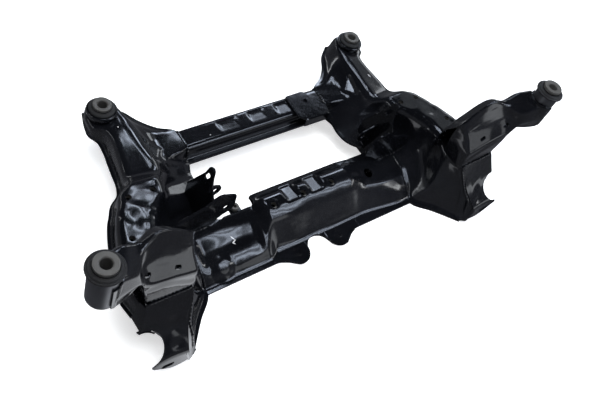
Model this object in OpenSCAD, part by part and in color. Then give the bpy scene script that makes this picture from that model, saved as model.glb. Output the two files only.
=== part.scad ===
// Suspension subframe of stamped and welded sheet steel.
// Two side members with pads and arms, a near and a far crossmember round a central opening,
// two towers that carry the near bushes, link brackets, saddle plates and four rubber bushes.
// Measured from a datum: x = 0 on the centre plane, y = 0 on the tower bush axes,
// z = 0 at the outer tip of the saddle plates. place() moves the datum into the part's frame.

/* [Bushes] */
// Distance between the two tower bush axes
tower_span = 940; // [920:1:960]
// Distance between the two far bush axes
far_span = 580; // [565:1:595]
// Distance from the tower bush axes to the far bush axes
bush_base = 361; // [350:1:372]
// Height of the tower bush seats above the datum
tower_seat_z = 250; // [244:1:256]
// Height of the far bush seats above the datum
far_seat_z = 97; // [94:1:100]
// Bore of every bush sleeve, for an M16 bolt
bolt_bore = 17; // [15:0.5:18]
// Outer diameter of the sleeve tube
sleeve_d = 27; // [25:0.5:29]
// Diameter of the flange on a tower bush sleeve
tower_sleeve_flange_d = 36; // [34:0.5:38]
// Diameter of the flange on a far bush sleeve
far_sleeve_flange_d = 33; // [31:0.5:35]
// Outer diameter of the tower bush housing tube
tower_can_d = 46; // [44:0.5:48]
// Height of the tower bush housing tube
tower_can_h = 74; // [70:1:78]
// Outer diameter of the far bush housing tube
far_can_d = 50; // [48:0.5:52]
// Height of the far bush housing tube
far_can_h = 62; // [58:1:66]
// Wall of the bush housing tubes
can_wall = 2.5; // [2:0.1:3]

/* [Sheet] */
// Thickness of the stamped shells
sheet_t = 2.6; // [2:0.1:3]
// Thickness of the brackets and saddle plates
bracket_t = 4; // [3:0.25:5]
// Gap left between welded pieces
weld_gap = 0.3; // [0.2:0.05:0.4]
// Width of the welded flanges
flange_w = 10; // [8:0.5:12]

/* [Heights] */
// Height of the pads on the side members
pad_z = 86; // [82:1:90]
// Height of the ridge along the arms
ridge_z = 73; // [70:1:76]
// Height of the top of the near crossmember
near_top_z = 20; // [16:1:24]
// Height of the top of the far crossmember
far_top_z = 38; // [35:1:41]
// Height of the flange round the near edge, below the datum
near_flange_z = -37; // [-39:0.5:-35]

/* [Crossmembers] */
// Half length of the near crossmember between the side members
near_half = 250; // [244:1:254]
// Half length of the far crossmember between the side members
far_half = 165; // [160:1:170]
// Distance of the near edge flange from the tower bush axes
near_edge_y = 8; // [5:1:11]
// Distance of the near edge of the opening
opening_near_y = 136; // [133:1:139]
// Distance of the far edge of the opening
opening_far_y = 243; // [240:1:246]
// Distance of the far wall of the far crossmember
far_wall_y = 303; // [300:1:306]
// Half length of the opening
opening_half = 174; // [171:1:176]
// Bore of the tab and shelf holes, for an M10 bolt
tab_bore = 11; // [9:0.5:12]
// Distance of each tab hole from the centre plane
tab_x = 51; // [48:1:54]
// Distance of the tab holes from the tower bush axes
tab_y = 12; // [10:1:14]
// Distance of each outer shelf hole from the centre plane
shelf_x = 70; // [67:1:73]
// Distance of the shelf holes from the tower bush axes
shelf_y = 95; // [93:1:97]
// Bore of the access hole in the near crossmember
access_bore = 20; // [17:0.5:22]
// Distance of the access hole from the centre plane
access_x = 168; // [164:1:172]

/* [Pads and brackets] */
// Bore of the pad holes, for an M10 bolt
pad_bore = 11; // [9:0.5:12]
// Distance of the middle pad hole from the centre plane
pad_x = 333; // [330:1:336]
// Distance of the two far pad holes from the tower bush axes
pad_y = 174; // [171:1:177]
// Bore of the link bracket ears, for an M12 bolt
link_bore = 12.5; // [10:0.5:14]
// Distance of the link bolt from the centre plane
link_x = 176; // [173:1:179]
// Height of the link bolt above the datum
link_z = 54; // [52:1:57]
// Distance of the near ear from the tower bush axes
near_ear_y = 108; // [106:1:110]
// Distance of the far ear from the tower bush axes
far_ear_y = 146; // [144:1:148]
// Radius of the half-round saddle
saddle_r = 32; // [30:0.5:34]
// Width of the slots in the tower panels and saddle flanges
slot_w = 8; // [6:0.5:9]

/* [Hidden] */
$fn = 48;

// Anchors that the outlines are measured from
T = [tower_span / 2, 0, 0];
A = [far_span / 2, bush_base, 0];
P = [pad_x, pad_y, pad_z];
// Reach of the arm ends past the far bush axes, and of the saddle plates before the tower axes
arm_reach = 36;
saddle_reach = 82;
frame_mid_y = (bush_base + arm_reach - saddle_reach) / 2;
// Step from one welded sheet to the next below it, and the floor under the lowest sheet
lap = sheet_t + weld_gap;
pan_drop = 0.5;
floor_z = near_flange_z - lap - sheet_t - pan_drop;
pan_z = floor_z + sheet_t;
can_clear_d = 2 * weld_gap;
pad_holes = [[pad_x - 44, pad_y], [pad_x, pad_y], [pad_x + 30, pad_y - 73]];

paint = [0.06, 0.06, 0.07];
rubber = [0.2, 0.2, 0.2];
metal = [0.62, 0.61, 0.58];
satin = [0.28, 0.28, 0.29];

// Moves the measuring datum to the part's own origin, at the middle of its footprint
module place() translate([0, -frame_mid_y, -floor_z]) children();

// Puts a right-hand piece in its place, or its mirror image on the left
module handed(left) place() mirror([left ? 1 : 0, 0, 0]) children();

function unit(v) = v / max(norm(v), 0.001);
function clampi(i, n) = max(0, min(n - 1, i));

// Direction out of a grid of points g[rail][station]
function grid_normal(g, r, s) =
    let (
        nr = len(g),
        ns = len(g[0]),
        along = g[r][clampi(s + 1, ns)] - g[r][clampi(s - 1, ns)],
        across = g[clampi(r + 1, nr)][s] - g[clampi(r - 1, nr)][s]
    ) unit(cross(along, across));

function shift_grid(g, v) = [for (rail = g) [for (p = rail) p + v]];
function sheet_back(g, t) =
    [for (r = [0:len(g) - 1]) [for (s = [0:len(g[0]) - 1]) g[r][s] - t * grid_normal(g, r, s)]];

// Closed solid between two grids of points of the same size
module between(front, rear) {
    nr = len(front);
    ns = len(front[0]);
    n = nr * ns;
    pts = concat([for (rail = front) each rail], [for (rail = rear) each rail]);
    rim = concat(
        [for (s = [0:ns - 1]) s],
        [for (r = [1:nr - 1]) r * ns + ns - 1],
        [for (s = [ns - 2:-1:0]) (nr - 1) * ns + s],
        [for (r = [nr - 2:-1:1]) r * ns]
    );
    m = len(rim);
    faces = concat(
        [for (r = [0:nr - 2]) for (s = [0:ns - 2]) each [
            [r * ns + s, (r + 1) * ns + s, r * ns + s + 1],
            [r * ns + s + 1, (r + 1) * ns + s, (r + 1) * ns + s + 1]]],
        [for (r = [0:nr - 2]) for (s = [0:ns - 2]) each [
            [n + r * ns + s, n + r * ns + s + 1, n + (r + 1) * ns + s],
            [n + r * ns + s + 1, n + (r + 1) * ns + s + 1, n + (r + 1) * ns + s]]],
        [for (i = [0:m - 1]) let (a = rim[i], b = rim[(i + 1) % m]) each [
            [a, b, n + a],
            [b, n + b, n + a]]]
    );
    polyhedron(points = pts, faces = faces, convexity = 10);
}

// Sheet of thickness t behind a grid, and the block of metal space below a grid
module sheet(g, t) between(g, sheet_back(g, t));
module space_below(g, drop) between(g, shift_grid(g, [0, 0, -drop]));

// Tube with a bore, standing on z0
module tube(d, bore, z0, h) {
    translate([0, 0, z0])
        difference() {
            cylinder(d = d, h = h);
            translate([0, 0, -1]) cylinder(d = bore, h = h + 2);
        }
}

// Flat outline with round ends between two points
module slot_2d(a, b, w) {
    hull() {
        translate(a) circle(d = w);
        translate(b) circle(d = w);
    }
}

// Rounds a bend in a section: each inner point becomes two points at distance r along its sides
function step_to(a, b, r) = a + unit(b - a) * min(r, norm(b - a) / 3);
function soften(sec, first, last, r) = [
    for (i = [0:len(sec) - 1]) each (i < first || i > last)
        ? [sec[i]]
        : [step_to(sec[i], sec[i - 1], r), step_to(sec[i], sec[i + 1], r)]
];
function transpose(m) = [for (j = [0:len(m[0]) - 1]) [for (i = [0:len(m) - 1]) m[i][j]]];

// Near crossmember: one section at x, from the near flange tip to the opening flange tip
shelf_z = near_top_z + 3;
shelf_half = 96;
shelf_step = 12;
function near_section(x) =
    let (c = abs(x) <= shelf_half ? 1 : 0) [
        [x, near_edge_y, near_flange_z],
        [x, near_edge_y + flange_w + 10 * c, near_flange_z],
        [x, 40 + 10 * c, near_flange_z + 21 + 9 * c],
        [x, 72 + 6 * c, near_top_z - 16 + 19 * c],
        [x, 110 + 3 * c, near_top_z - 10 + 13 * c],
        [x, opening_near_y - flange_w, near_top_z - 12 + 6 * c],
        [x, opening_near_y, near_top_z - 14 + 4 * c]
    ];
near_end = near_half - weld_gap;
near_half_stations = [near_end, 205, 152, shelf_half + shelf_step, shelf_half, 45];
near_stations = concat(
    [for (x = near_half_stations) -x],
    [0],
    [for (i = [len(near_half_stations) - 1:-1:0]) near_half_stations[i]]
);
near_grid = transpose([for (x = near_stations) soften(near_section(x), 1, 5, 7)]);

// Side member: stations from the saddle end to the far bush, each from the outer flange tip,
// over the outer wall, the pad or arm top, the inner wall and the basin to the inner edge
joint = near_section(near_half);
side_stations = [
    [T + [-54, -5, 50], T + [-60, -4, 52], T + [-66, -2, 80], T + [-157, -3, 72],
        T + [-141, -40, 20], T + [-145, -64, near_flange_z + 3], T + [-144, -76, near_flange_z]],
    [T + [-51, 24, 48], T + [-57, 24, 50], T + [-64, 24, 84], T + [-160, 20, 78],
        T + [-168, -14, 16], T + [-176, -22, near_flange_z + 3], T + [-184, -30, near_flange_z]],
    [T + [-52, 46, 47], T + [-58, 46, 49], T + [-66, 46, pad_z], T + [-160, 42, 82],
        T + [-186, 12, 6], joint[0] + [6, 8, 1], joint[0]],
    [T + [-55, 60, 47], T + [-61, 60, 49], T + [-69, 60, pad_z], T + [-158, 58, pad_z],
        T + [-184, 34, 8], joint[1] + [8, 6, 6], joint[1]],
    [P + [75, -98, -40], P + [69, -99, -38], P + [64, -100, 0], P + [-17, -98, 0],
        joint[2] + [36, 16, 30], joint[2] + [10, 4, 5], joint[2]],
    [P + [67, -81, -40], P + [61, -83, -38], P + [56, -84, 0], P + [-15, -82, 0],
        joint[3] + [38, 8, 22], joint[3] + [12, 2, 4], joint[3]],
    [P + [60, -59, -41], P + [54, -62, -39], P + [49, -64, 0], P + [-18, -68, 0],
        joint[4] + [42, -4, 20], joint[4] + [10, 0, 2], joint[4]],
    [P + [52, -38, -42], P + [46, -41, -40], P + [41, -44, 0], P + [-28, -48, 0],
        joint[5] + [38, 0, 24], joint[5] + [9, 0, 3], joint[5]],
    [P + [42, -16, -42], P + [36, -20, -40], P + [31, -24, 0], P + [-45, -25, 0],
        joint[6] + [24, 12, 30], joint[6] + [6, 8, 3], joint[6]],
    [P + [30, 3, -43], P + [24, -1, -41], P + [19, -4, 0], P + [-62, -11, 0],
        P + [-71, -10, -48], [opening_half + 32, opening_near_y + 22, 8],
        [opening_half + 22, opening_near_y + 16, 5]],
    [P + [18, 21, -44], P + [13, 17, -42], P + [9, 13, 0], P + [-65, 4, 0],
        P + [-77, 6, -46], [opening_half + 12, opening_near_y + 46, 8],
        [opening_half + 2, opening_near_y + 42, 4]],
    [P + [1, 34, -46], P + [-4, 29, -44], P + [-10, 25, 0], P + [-67, 19, 0],
        P + [-81, 24, -44], [opening_half + 8, opening_far_y - 38, 8],
        [opening_half - 2, opening_far_y - 38, 4]],
    [P + [-8, 49, -52], P + [-13, 43, -50], P + [-18, 37, -12], P + [-77, 34, -12],
        P + [-93, 38, -40], [opening_half + 8, opening_far_y - 23, 11],
        [opening_half - 2, opening_far_y - 21, 7]],
    [A + [28, -119, 28], A + [23, -124, 30], A + [21, -133, ridge_z - 10], A + [-39, -139, ridge_z - 2],
        A + [-58, -135, 46], [far_half + 11, opening_far_y - 3, 14], [far_half, opening_far_y, 10]],
    [A + [24, -96, 25], A + [18, -100, 27], A + [17, -111, ridge_z - 7], A + [-39, -121, ridge_z - 1],
        A + [-60, -121, 48], [far_half + 13, opening_far_y + 6, 20], [far_half, opening_far_y + 10, 12]],
    [A + [20, -72, 24], A + [14, -75, 26], A + [12, -85, ridge_z - 4], A + [-38, -99, ridge_z],
        A + [-62, -105, 50], [far_half + 13, opening_far_y + 14, far_top_z + 2],
        [far_half, opening_far_y + 18, far_top_z]],
    [A + [17, -50, 26], A + [11, -51, 28], A + [8, -57, ridge_z - 1], A + [-36, -65, ridge_z + 1],
        A + [-65, -73, 50], [far_half + 11, far_wall_y - 3, far_top_z + 1],
        [far_half, far_wall_y - 2, far_top_z]],
    [A + [19, -32, 34], A + [14, -33, 36], A + [11, -36, ridge_z - 1], A + [-34, -39, ridge_z + 2],
        A + [-56, -45, 54], A + [-87, -45, 40], A + [-94, -39, 38]],
    [A + [31, -15, 42], A + [28, -16, 44], A + [29, -19, ridge_z - 5], A + [-32, -15, ridge_z + 4],
        A + [-44, -17, 60], A + [-61, -16, 41], A + [-68, -11, 39]],
    [A + [29, 5, 44], A + [27, 4, 46], A + [30, 1, ridge_z - 3], A + [-30, 3, ridge_z + 4],
        A + [-36, 5, 62], A + [-46, 9, 42], A + [-53, 13, 40]],
    [A + [20, 34, 44], A + [17, 31, 46], A + [17, 27, ridge_z - 2], A + [-18, 27, ridge_z + 3],
        A + [-21, 29, 62], A + [-24, 31, 44], A + [-27, 36, 42]]
];
side_grid = transpose([for (sec = side_stations) soften(sec, 2, 4, 6)]);

// Lower side shell: follows both flanges and hangs below them
bottom_z = [pan_z, pan_z, pan_z, pan_z, pan_z, pan_z, pan_z, -30, -24, -18, -14, -10, -6,
    -2, 2, 4, 6, 6, 6, 6, 6];
// The lower flanges keep a wider gap, because the flanges bend along their length
side_back = sheet_back(side_grid, sheet_t + 2.5 * weld_gap);
inner_tip = len(side_grid) - 1;
function lower_section(i) =
    let (
        u = side_stations[i],
        z = bottom_z[i],
        flat = i >= 3 && i <= 6
    ) [
        side_back[0][i],
        side_back[1][i],
        [u[1][0] - 24, u[1][1] - (i < 2 ? 6 : 0), i < 4 ? (i == 0 ? 6 : 0) : z],
        [u[4][0] + (i < 4 ? 14 : 0), u[5][1] + (i < 2 ? 4 : 0), z],
        flat ? [u[5][0], u[5][1], pan_z] : side_back[inner_tip - 1][i],
        flat ? [u[6][0], u[6][1], pan_z] : side_back[inner_tip][i]
    ];
lower_grid = transpose([for (i = [0:len(side_stations) - 1]) lower_section(i)]);

module far_can_hole() translate([A[0], A[1], -50]) cylinder(d = far_can_d + can_clear_d, h = 200);

module side_upper(left) color(paint) handed(left) {
    difference() {
        sheet(side_grid, sheet_t);
        far_can_hole();
        for (h = pad_holes) translate([h[0], h[1], pad_z - 30]) cylinder(d = pad_bore, h = 60);
    }
}

module side_lower(left) color(paint) handed(left) {
    difference() {
        sheet(lower_grid, sheet_t);
        far_can_hole();
    }
}

// Plan outline of one bolt tab on the near flange
tab_r = 26;
module tab_2d() {
    translate([tab_x, tab_y]) circle(r = tab_r);
    translate([tab_x - tab_r, tab_y]) square([2 * tab_r, 24]);
    polygon([[tab_x, tab_y - 20], [tab_x + 22, tab_y - 12], [tab_x + 40, near_edge_y + 1],
        [tab_x + 40, tab_y + 14], [tab_x, tab_y + 14]]);
}

// Notch in the opening's near edge, left of the shelf, clear of the harness tab
notch_x = [-184, -96];
notch_depth = 24;
module notch_2d() {
    r = 14;
    y0 = opening_near_y - notch_depth;
    translate([notch_x[0], y0 + r]) square([notch_x[1] - notch_x[0], 60]);
    translate([notch_x[0] + r, y0]) square([notch_x[1] - notch_x[0] - 2 * r, 40]);
    for (x = [notch_x[0] + r, notch_x[1] - r]) translate([x, y0 + r]) circle(r = r);
}

// Cuts shared by both near crossmember shells
module near_cuts() {
    translate([0, near_edge_y - 4, floor_z - 1]) cylinder(r = tab_x - tab_r, h = 20);
    for (s = [-1, 1]) translate([s * tab_x, tab_y, floor_z - 1]) cylinder(d = tab_bore, h = 20);
    translate([0, 0, floor_z - 1]) linear_extrude(120) notch_2d();
}

module near_crossmember_upper() color(paint) place() {
    difference() {
        union() {
            sheet(near_grid, sheet_t);
            for (s = [0, 1]) mirror([s, 0, 0])
                translate([0, 0, near_flange_z - sheet_t]) linear_extrude(sheet_t) tab_2d();
        }
        near_cuts();
        for (x = [-shelf_x, 0, shelf_x]) translate([x, shelf_y, 0]) cylinder(d = tab_bore, h = 60);
        translate([access_x, shelf_y - 7, -20]) cylinder(d = access_bore, h = 80);
    }
}

function near_lower_section(x) = [
    [x, near_edge_y, near_flange_z - lap],
    [x, near_edge_y + flange_w, near_flange_z - lap],
    [x, 40, pan_z],
    [x, 46, pan_z],
    [x, opening_near_y - 3 * flange_w - 2, pan_z],
    [x, opening_near_y - 2 * flange_w - 6, pan_z],
    [x, opening_near_y - flange_w - 6, near_top_z - 14 - lap],
    [x, opening_near_y, near_top_z - 14 - lap]
];
near_lower_grid = transpose([for (x = [-near_end, near_end]) near_lower_section(x)]);

module near_crossmember_lower() color(paint) place() {
    difference() {
        union() {
            sheet(near_lower_grid, sheet_t);
            for (s = [0, 1]) mirror([s, 0, 0])
                translate([0, 0, near_flange_z - lap - sheet_t]) linear_extrude(sheet_t) tab_2d();
        }
        near_cuts();
    }
}

// Far crossmember: bent strips of sheet, drawn across (y, z) and run along x
function left_of(d) = [-d[1], d[0]];
function strip_normal(p, i) =
    let (
        n = len(p),
        a = left_of(unit(p[min(i + 1, n - 1)] - p[min(i, n - 2)])),
        b = left_of(unit(p[max(i, 1)] - p[max(i - 1, 0)]))
    ) (a + b) / (1 + a * b);
function strip(p, t) = concat(p, [for (i = [len(p) - 1:-1:0]) p[i] - t * strip_normal(p, i)]);

far_flange_z = 10;
far_end = far_half - weld_gap;
far_upper_line = [
    [opening_far_y, far_flange_z], [opening_far_y + flange_w, far_flange_z],
    [opening_far_y + 13, far_top_z - 5], [opening_far_y + 18, far_top_z],
    [far_wall_y - 4, far_top_z], [far_wall_y, far_top_z - 4],
    [far_wall_y + 2, far_flange_z], [far_wall_y + flange_w, far_flange_z]
];
far_lower_line = [
    [opening_far_y, far_flange_z - lap], [opening_far_y + flange_w + 3, far_flange_z - lap],
    [opening_far_y + 36, pan_z], [far_wall_y - 6, pan_z],
    [far_wall_y - 1, far_flange_z - lap], [far_wall_y + flange_w, far_flange_z - lap]
];
module bent_strip(line)
    translate([-far_end, 0, 0]) rotate([90, 0, 90]) linear_extrude(2 * far_end) polygon(strip(line, sheet_t));
module far_crossmember_upper() color(paint) place() bent_strip(far_upper_line);
module far_crossmember_lower() color(paint) place() bent_strip(far_lower_line);

// Folded bracket on the right end of the far crossmember: a top plate with a lip over the opening
hanger_lip_h = 22;
module far_crossmember_bracket() color(paint) place() {
    lip_y = opening_far_y - 12;
    translate([0, 0, far_top_z + weld_gap]) linear_extrude(bracket_t) difference() {
        polygon([[86, far_wall_y - 2], [131, far_wall_y - 1], [160, opening_far_y + 8],
            [157, lip_y], [96, lip_y], [84, opening_far_y + 4]]);
        translate([122, opening_far_y + 34]) circle(d = tab_bore);
    }
    translate([96, lip_y, far_top_z + weld_gap + bracket_t - hanger_lip_h])
        cube([61, bracket_t, hanger_lip_h]);
}

// Tower: front panel with top face, slotted face and inner end, and a rear panel behind the ridge
tower_front_stations = [
    [T + [-168, 38, 86], T + [-173, 40, 112], T + [-174, 41, 132], T + [-173, 41, 155]],
    [T + [-158, -9, 73], T + [-157, 0, 118], T + [-155, 9, 140], T + [-163, 38, 166]],
    [T + [-118, -9, 73], T + [-118, -3, 132], T + [-118, 4, 157], T + [-140, 39, 185]],
    [T + [-70, -9, 75], T + [-66, -6, 150], T + [-68, 0, 180], T + [-98, 37, 205]],
    [T + [-52, -13, 140], T + [-52, -15, 164], T + [-54, -8, 186], T + [-72, 34, 198]],
    [T + [-24, -20, 163], T + [-24, -22, 186], T + [-26, -12, 209], T + [-42, 33, 213]],
    [T + [-6, -25, 167], T + [-6, -26, 188], T + [-6, -18, 214], T + [-12, 29, 215]]
];
tower_rear_stations = [
    [T + [-173, 41, 155], T + [-180, 60, 127], T + [-182, 62, 70]],
    [T + [-163, 38, 166], T + [-166, 60, 145], T + [-170, 62, 70]],
    [T + [-140, 39, 185], T + [-140, 60, 163], T + [-140, 64, 70]],
    [T + [-98, 37, 205], T + [-95, 54, 194], T + [-80, 62, 70]],
    [T + [-72, 34, 198], T + [-70, 44, 188], T + [-62, 40, 135]],
    [T + [-42, 33, 213], T + [-40, 40, 204], T + [-36, 32, 158]],
    [T + [-12, 29, 215], T + [-10, 32, 207], T + [-6, 28, 165]]
];
// The front panel stops short of the ridge by the thickness of the rear panel
function trimmed(sec) =
    let (n = len(sec)) [for (i = [0:n - 1]) i < n - 1 ? sec[i] : step_to(sec[i], sec[i - 1], 2 * lap)];
tower_front_grid = transpose([for (sec = tower_front_stations) trimmed(sec)]);
tower_rear_grid = transpose(tower_rear_stations);

module tower_can_hole() translate([T[0], T[1], 0]) cylinder(d = tower_can_d + can_clear_d, h = 300);

// Slot through the tower panel or saddle flange, run along y from y0 to y1
module y_slot(a, b, y0, y1)
    translate([0, y1, 0]) rotate([90, 0, 0]) linear_extrude(y1 - y0) slot_2d(a, b, slot_w);

module tower_front(left) color(paint) handed(left) {
    difference() {
        sheet(tower_front_grid, sheet_t);
        tower_can_hole();
        y_slot([T[0] - 129, 141], [T[0] - 123, 144], -60, 20);
        y_slot([T[0] - 80, 163], [T[0] - 74, 166], -60, 20);
        translate([0, 0, weld_gap]) space_below(side_grid, 60);
    }
}
module tower_rear(left) color(paint) handed(left) {
    difference() {
        sheet(tower_rear_grid, sheet_t);
        tower_can_hole();
        translate([0, 0, weld_gap]) space_below(side_grid, 60);
    }
}

// Bushes: housing tube, rubber and inner sleeve
rim_h = 8;
module bush_can(at, d, top, h) translate([at[0], at[1], 0]) tube(d, d - 2 * can_wall, top - h, h);
module bush_rubber(at, d, rim_d, top, h) translate([at[0], at[1], 0]) difference() {
    union() {
        translate([0, 0, top - h + 4]) cylinder(d = d - 2 * can_wall, h = h - 4);
        translate([0, 0, top]) cylinder(d = rim_d, h = rim_h);
    }
    translate([0, 0, top - h]) cylinder(d = sleeve_d, h = h + 2 * rim_h);
}
module bush_sleeve(at, flange_d, rim_top, seat, bottom) translate([at[0], at[1], 0]) difference() {
    union() {
        translate([0, 0, bottom]) cylinder(d = sleeve_d, h = seat - bottom);
        translate([0, 0, rim_top]) cylinder(d = flange_d, h = seat - rim_top);
    }
    translate([0, 0, bottom - 1]) cylinder(d = bolt_bore, h = seat - bottom + 2);
}
tower_flange_h = 6;
far_flange_h = 5;
tower_can_top = tower_seat_z - tower_flange_h - rim_h;
far_can_top = far_seat_z - far_flange_h - rim_h;
tower_rim_d = 55;
far_rim_d = far_can_d - 4;
module tower_can(left) color(satin) handed(left)
    bush_can(T, tower_can_d, tower_can_top, tower_can_h);
module tower_rubber(left) color(rubber) handed(left)
    bush_rubber(T, tower_can_d, tower_rim_d, tower_can_top, tower_can_h);
module tower_sleeve(left) color(metal) handed(left)
    bush_sleeve(T, tower_sleeve_flange_d, tower_can_top + rim_h, tower_seat_z, tower_can_top - tower_can_h);
module far_can(left) color(paint) handed(left)
    bush_can(A, far_can_d, far_can_top, far_can_h);
module far_rubber(left) color(rubber) handed(left)
    bush_rubber(A, far_can_d, far_rim_d, far_can_top, far_can_h);
module far_sleeve(left) color(metal) handed(left)
    bush_sleeve(A, far_sleeve_flange_d, far_can_top + rim_h, far_seat_z, far_can_top - far_can_h);

// Link bracket: a near and a far ear across the basin, joined by a web with a slotted tab on top,
// with one bolt line through both ears
ear_r = 20;
far_eye_r = 15;
ear_top = 109;
ear_foot = -20;
module ear(y, r, line) {
    translate([0, y + bracket_t, 0]) rotate([90, 0, 0]) linear_extrude(bracket_t)
        difference() {
            union() {
                translate([link_x, link_z]) circle(r = r);
                polygon([for (q = line) [link_x + q[0], q[1]]]);
            }
            translate([link_x, link_z]) circle(d = link_bore);
        }
}
near_ear_line = [
    [-19, link_z], [-17, link_z + 30], [4, ear_top - 14], [20, ear_top - 12], [31, ear_top - 19],
    [42, ear_top - 35], [74, ear_top - 53], [106, ear_top - 69], [106, ear_foot], [30, ear_foot],
    [0, link_z - ear_r]
];
far_ear_line = [
    [-8, link_z - 12], [-6, link_z + 13], [33, link_z + 24], [33, ear_foot], [28, ear_foot],
    [0, link_z - far_eye_r]
];
web_x = link_x + 31;
web_line = [
    [near_ear_y + 1, ear_foot], [far_ear_y + 38, ear_foot], [far_ear_y + 38, ear_top - 57],
    [far_ear_y + 26, ear_top - 33], [far_ear_y + 2, ear_top + 17], [far_ear_y - 5, ear_top + 41],
    [far_ear_y - 14, ear_top + 47], [far_ear_y - 20, ear_top + 42], [far_ear_y - 21, ear_top + 25],
    [near_ear_y + 13, ear_top + 3], [near_ear_y + 4, ear_top - 12], [near_ear_y + 1, ear_top - 17]
];
module link_web() translate([web_x, 0, 0]) rotate([90, 0, 90]) linear_extrude(bracket_t) difference() {
    polygon(web_line);
    slot_2d([far_ear_y - 9, ear_top + 23], [far_ear_y - 3, ear_top + 8], slot_w);
}
module link_bracket(left) color(paint) handed(left) {
    difference() {
        union() {
            ear(near_ear_y, ear_r, near_ear_line);
            ear(far_ear_y, far_eye_r, far_ear_line);
            link_web();
        }
        translate([0, 0, weld_gap]) space_below(side_grid, 90);
        translate([0, 0, weld_gap]) space_below(near_grid, 60);
    }
}

// Saddle plate: web below the tower, half-round saddle and a turned-down flange with a slot
web_y = -9 - 0.9 * bracket_t - weld_gap;
saddle_stations = [
    [T + [-69, web_y, 77], T + [-57, -36, 37], T + [-59, -77, 4], T + [-62, -81, -4]],
    [T + [-100, web_y, 77], T + [-94, -42, 31], T + [-93, -77, 3], T + [-100, -82, -31]],
    [T + [-156, web_y, 77], T + [-137, -46, 25], T + [-126, -79, -2], T + [-138, -80, near_flange_z + 1]]
];
saddle_at = T + [-58, -54, 20];
saddle_lean = 39;
module saddle(left) color(paint) handed(left) {
    difference() {
        sheet(transpose(saddle_stations), bracket_t);
        translate(saddle_at) rotate([saddle_lean, 0, 0])
            translate([0, 0, -60]) cylinder(r = saddle_r, h = 120);
        y_slot([T[0] - 97, -18], [T[0] - 81, -14], -120, -60);
    }
}

// Weld nuts under the shelf and pad holes
nut_d = 17;
nut_h = 8;
module nut(at, top, bore) translate([at[0], at[1], top - nut_h]) difference() {
    cylinder(d = nut_d, h = nut_h);
    translate([0, 0, -1]) cylinder(d = bore, h = nut_h + 2);
}
module shelf_nuts() color(metal) place()
    for (x = [-shelf_x, 0, shelf_x]) nut([x, shelf_y], shelf_z - lap, tab_bore);
module pad_nuts() color(metal) place()
    for (m = [0, 1]) mirror([m, 0, 0]) for (h = pad_holes) nut(h, pad_z - lap, pad_bore);

// Harness tab in the notch of the opening's near edge, with its weld nut
harness_x = -138;
harness_y = opening_near_y - notch_depth + weld_gap;
harness_z = near_top_z - 14;
harness_reach = 10;
harness_w = 24;
harness_bore = 7;
module harness_tab() color(paint) place() {
    translate([harness_x, harness_y, harness_z]) difference() {
        translate([-harness_w / 2, 0, 0]) cube([harness_w, 18, sheet_t]);
        translate([0, harness_reach, -1]) cylinder(d = harness_bore, h = sheet_t + 2);
    }
}
module harness_nut() color(metal) place()
    nut([harness_x, harness_y + harness_reach], harness_z + lap + nut_h, harness_bore);

side_upper(true);  // side_upper_left
side_upper(false);  // side_upper_right
side_lower(true);  // side_lower_left
side_lower(false);  // side_lower_right
near_crossmember_upper();
near_crossmember_lower();
far_crossmember_upper();
far_crossmember_lower();
far_crossmember_bracket();
tower_front(true);  // tower_front_left
tower_front(false);  // tower_front_right
tower_rear(true);  // tower_rear_left
tower_rear(false);  // tower_rear_right
tower_can(true);  // tower_can_left
tower_can(false);  // tower_can_right
tower_rubber(true);  // tower_rubber_left
tower_rubber(false);  // tower_rubber_right
tower_sleeve(true);  // tower_sleeve_left
tower_sleeve(false);  // tower_sleeve_right
far_can(true);  // far_can_left
far_can(false);  // far_can_right
far_rubber(true);  // far_rubber_left
far_rubber(false);  // far_rubber_right
far_sleeve(true);  // far_sleeve_left
far_sleeve(false);  // far_sleeve_right
link_bracket(true);  // link_bracket_left
link_bracket(false);  // link_bracket_right
saddle(true);  // saddle_left
saddle(false);  // saddle_right
shelf_nuts();
pad_nuts();
harness_tab();
harness_nut();
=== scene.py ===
"""Gloss-black suspension subframe: smooth stamped shells, towers, brackets, bushes and welds."""
import math

import bmesh
import bpy
import numpy as np
from mathutils import Matrix

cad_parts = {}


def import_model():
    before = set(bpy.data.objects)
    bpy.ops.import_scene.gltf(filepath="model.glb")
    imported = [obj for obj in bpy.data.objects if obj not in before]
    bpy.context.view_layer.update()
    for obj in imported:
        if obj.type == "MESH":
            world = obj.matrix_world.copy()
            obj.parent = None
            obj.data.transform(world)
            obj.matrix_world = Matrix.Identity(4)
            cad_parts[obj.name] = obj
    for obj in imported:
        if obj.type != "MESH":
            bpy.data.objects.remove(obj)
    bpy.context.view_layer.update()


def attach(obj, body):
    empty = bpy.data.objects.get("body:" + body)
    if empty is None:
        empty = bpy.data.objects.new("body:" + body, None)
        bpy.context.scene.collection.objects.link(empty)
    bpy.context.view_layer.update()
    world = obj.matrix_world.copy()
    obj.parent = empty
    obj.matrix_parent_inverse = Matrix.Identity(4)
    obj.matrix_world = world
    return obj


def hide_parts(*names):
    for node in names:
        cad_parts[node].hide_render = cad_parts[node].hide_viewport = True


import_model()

# Datum of the measurements: x = 0 on the centre plane, y = 0 on the tower bush axes, z = 0 near the
# saddle tips, in millimetres. part() gives the same point in the part's frame, in metres.
MID_Y, FLOOR_Z = 157.5, -43.0


def vec(*v):
    """A point or a direction, as floats."""
    return np.array(v, float)


def part(p):
    """Datum millimetres to the part's frame in metres."""
    return (np.asarray(p, float) - [0.0, MID_Y, FLOOR_Z]) / 1000.0


# Right tower bush, right far bush, middle bolt hole of the right pad
T = vec(470, 0, 0)
A = vec(290, 361, 0)
P = vec(333, 174, 86)
# Thickness of the pressings and of the brackets
SHEET, BRACKET = 2.6, 4.0
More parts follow.
